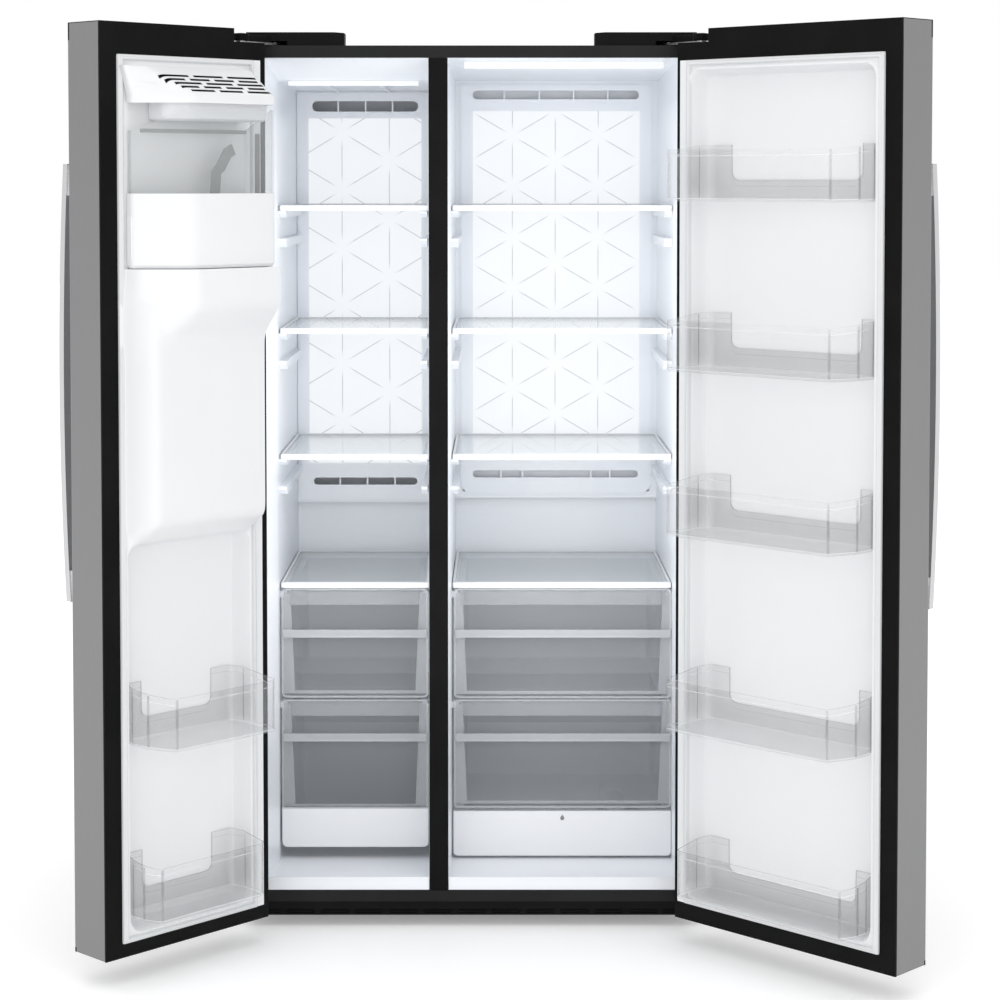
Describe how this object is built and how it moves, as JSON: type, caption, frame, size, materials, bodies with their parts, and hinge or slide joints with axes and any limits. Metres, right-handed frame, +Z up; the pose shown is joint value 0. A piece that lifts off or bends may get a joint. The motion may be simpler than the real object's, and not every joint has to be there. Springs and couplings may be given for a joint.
{
  "type": "side by side refrigerator",
  "caption": "Side by side refrigerator with both doors open, glass shelves, clear drawers and bins, and an ice and water dispenser in the freezer door.",
  "frame": {"origin": "on the floor, under the middle of the cabinet's front plane", "axes": "+X across the front to the fresh food side, +Y back into the cabinet, +Z up"},
  "size_m": [1.6227, 1.2241, 1.768],
  "materials": {
    "case_black": "satin",
    "galvanised": "satin",
    "foam": "matte",
    "white_liner": "satin",
    "black_plastic": "satin",
    "hinge_steel": "satin",
    "light_panel": "satin",
    "coil": "satin",
    "compressor_black": "satin",
    "valve_plastic": "matte",
    "rubber": "matte",
    "shelf_glass": "clear",
    "clear_bin": "clear",
    "smoked_drawer": "clear",
    "door_steel": "brushed",
    "seal": "matte",
    "handle_steel": "brushed",
    "panel_black": "gloss",
    "grey_plastic": "satin"
  },
  "bodies": {
    "cabinet": {"case_wrapper": "case_black", "back_panel": "galvanised", "case_foam": "foam", "freezer_liner": "white_liner", "fridge_liner": "white_liner", "centre_mullion": "case_black", "base_chassis": "case_black", "toe_grille": "black_plastic", "door_hinges": "hinge_steel", "hinge_covers": "black_plastic", "fridge_duct_cover": "white_liner", "evaporator_cover": "white_liner", "interior_lights": "light_panel", "evaporator_coil": "coil", "compressor": "compressor_black", "condenser_coil": "coil", "water_valve": "valve_plastic", "water_filter": "white_liner", "power_inlet": "rubber", "crisper_covers": "shelf_glass"},
    "freezer_door": {"freezer_door_skin": "door_steel", "freezer_door_frame": "black_plastic", "freezer_door_liner": "white_liner", "freezer_door_gasket": "seal", "freezer_door_handle": "handle_steel", "icemaker": "white_liner", "ice_hood": "white_liner", "dispenser_housing": "black_plastic", "dispenser_panel": "panel_black"},
    "fridge_door": {"fridge_door_skin": "door_steel", "fridge_door_frame": "black_plastic", "fridge_door_liner": "white_liner", "fridge_door_gasket": "seal", "fridge_door_handle": "handle_steel"},
    "fridge_shelf_1": {"fridge_shelf_1": "shelf_glass"},
    "freezer_shelf_1": {"freezer_shelf_1": "shelf_glass"},
    "fridge_shelf_2": {"fridge_shelf_2": "shelf_glass"},
    "freezer_shelf_2": {"freezer_shelf_2": "shelf_glass"},
    "fridge_shelf_3": {"fridge_shelf_3": "shelf_glass"},
    "freezer_shelf_3": {"freezer_shelf_3": "shelf_glass"},
    "fridge_drawer_upper": {"fridge_drawer_upper": "smoked_drawer"},
    "freezer_drawer_upper": {"freezer_drawer_upper": "smoked_drawer"},
    "fridge_drawer_lower": {"fridge_drawer_lower": "smoked_drawer"},
    "freezer_drawer_lower": {"freezer_drawer_lower": "smoked_drawer"},
    "fridge_bin_1": {"fridge_bin_1": "clear_bin"},
    "fridge_bin_2": {"fridge_bin_2": "clear_bin"},
    "fridge_bin_3": {"fridge_bin_3": "clear_bin"},
    "fridge_bin_4": {"fridge_bin_4": "clear_bin"},
    "fridge_bin_5": {"fridge_bin_5": "clear_bin"},
    "freezer_bin_upper": {"freezer_bin_upper": "clear_bin"},
    "freezer_bin_lower": {"freezer_bin_lower": "clear_bin"},
    "ice_bucket": {"ice_bucket": "clear_bin"},
    "drip_tray": {"drip_tray": "grey_plastic"},
    "dispenser_paddle": {"dispenser_paddle": "grey_plastic"},
    "filter_cover": {"filter_cover": "white_liner"},
    "levelling_feet": {"levelling_feet": "grey_plastic"},
    "rear_rollers": {"rear_rollers": "grey_plastic"},
    "evaporator_fan": {"evaporator_fan": "black_plastic"},
    "condenser_fan": {"condenser_fan": "black_plastic"}
  },
  "joints": [
    {"name": "freezer_door_hinge", "type": "hinge", "parent": "cabinet", "child": "freezer_door", "pos_m": [-0.44265, -0.06715, 0.9], "axis": [0, 0, -1], "range_deg": [-134, 6]},
    {"name": "fridge_door_hinge", "type": "hinge", "parent": "cabinet", "child": "fridge_door", "pos_m": [0.44265, -0.06715, 0.9], "axis": [0, 0, 1], "range_deg": [-136, 4]},
    {"name": "fridge_shelf_1_slide", "type": "slide", "parent": "cabinet", "child": "fridge_shelf_1", "axis": [0, -1, 0], "range_m": [0, 0.23]},
    {"name": "freezer_shelf_1_slide", "type": "slide", "parent": "cabinet", "child": "freezer_shelf_1", "axis": [0, -1, 0], "range_m": [0, 0.27]},
    {"name": "fridge_shelf_2_slide", "type": "slide", "parent": "cabinet", "child": "fridge_shelf_2", "axis": [0, -1, 0], "range_m": [0, 0.23]},
    {"name": "freezer_shelf_2_slide", "type": "slide", "parent": "cabinet", "child": "freezer_shelf_2", "axis": [0, -1, 0], "range_m": [0, 0.27]},
    {"name": "fridge_shelf_3_slide", "type": "slide", "parent": "cabinet", "child": "fridge_shelf_3", "axis": [0, -1, 0], "range_m": [0, 0.23]},
    {"name": "freezer_shelf_3_slide", "type": "slide", "parent": "cabinet", "child": "freezer_shelf_3", "axis": [0, -1, 0], "range_m": [0, 0.27]},
    {"name": "fridge_drawer_upper_slide", "type": "slide", "parent": "cabinet", "child": "fridge_drawer_upper", "axis": [0, -1, 0], "range_m": [0, 0.22]},
    {"name": "freezer_drawer_upper_slide", "type": "slide", "parent": "cabinet", "child": "freezer_drawer_upper", "axis": [0, -1, 0], "range_m": [0, 0.27]},
    {"name": "fridge_drawer_lower_slide", "type": "slide", "parent": "cabinet", "child": "fridge_drawer_lower", "axis": [0, -1, 0], "range_m": [0, 0.22]},
    {"name": "freezer_drawer_lower_slide", "type": "slide", "parent": "cabinet", "child": "freezer_drawer_lower", "axis": [0, -1, 0], "range_m": [0, 0.27]},
    {"name": "fridge_bin_1_lift", "type": "slide", "parent": "fridge_door", "child": "fridge_bin_1", "axis": [0, 0, 1], "range_m": [0, 0.04]},
    {"name": "fridge_bin_2_lift", "type": "slide", "parent": "fridge_door", "child": "fridge_bin_2", "axis": [0, 0, 1], "range_m": [0, 0.04]},
    {"name": "fridge_bin_3_lift", "type": "slide", "parent": "fridge_door", "child": "fridge_bin_3", "axis": [0, 0, 1], "range_m": [0, 0.04]},
    {"name": "fridge_bin_4_lift", "type": "slide", "parent": "fridge_door", "child": "fridge_bin_4", "axis": [0, 0, 1], "range_m": [0, 0.04]},
    {"name": "fridge_bin_5_lift", "type": "slide", "parent": "fridge_door", "child": "fridge_bin_5", "axis": [0, 0, 1], "range_m": [0, 0.04]},
    {"name": "freezer_bin_upper_lift", "type": "slide", "parent": "freezer_door", "child": "freezer_bin_upper", "axis": [0, 0, 1], "range_m": [0, 0.04]},
    {"name": "freezer_bin_lower_lift", "type": "slide", "parent": "freezer_door", "child": "freezer_bin_lower", "axis": [0, 0, 1], "range_m": [0, 0.04]},
    {"name": "ice_bucket_slide", "type": "slide", "parent": "freezer_door", "child": "ice_bucket", "axis": [0.7193, -0.6947, 0], "range_m": [0, 0.1]},
    {"name": "drip_tray_slide", "type": "slide", "parent": "freezer_door", "child": "drip_tray", "axis": [-0.7193, 0.6947, 0], "range_m": [0, 0.06]},
    {"name": "dispenser_paddle", "type": "hinge", "parent": "freezer_door", "child": "dispenser_paddle", "pos_m": [-0.55432, -0.21323, 1.166], "axis": [-0.6947, -0.7193, 0], "range_deg": [0, 8], "stiffness_Nm_per_rad": 0.6},
    {"name": "filter_cover", "type": "hinge", "parent": "cabinet", "child": "filter_cover", "pos_m": [0.183, 0.1473, 0.103], "axis": [1, 0, 0], "range_deg": [0, 70]},
    {"name": "levelling_feet_slide", "type": "slide", "parent": "cabinet", "child": "levelling_feet", "axis": [0, 0, -1], "range_m": [0, 0.02]},
    {"name": "rear_rollers", "type": "hinge", "parent": "cabinet", "child": "rear_rollers", "pos_m": [0, 0.65, 0.022], "axis": [1, 0, 0], "continuous": true},
    {"name": "evaporator_fan", "type": "hinge", "parent": "cabinet", "child": "evaporator_fan", "pos_m": [-0.24, 0.614, 1.58], "axis": [0, 1, 0], "continuous": true},
    {"name": "condenser_fan", "type": "hinge", "parent": "cabinet", "child": "condenser_fan", "pos_m": [-0.04, 0.61, 0.13], "axis": [1, 0, 0], "continuous": true}
  ]
}
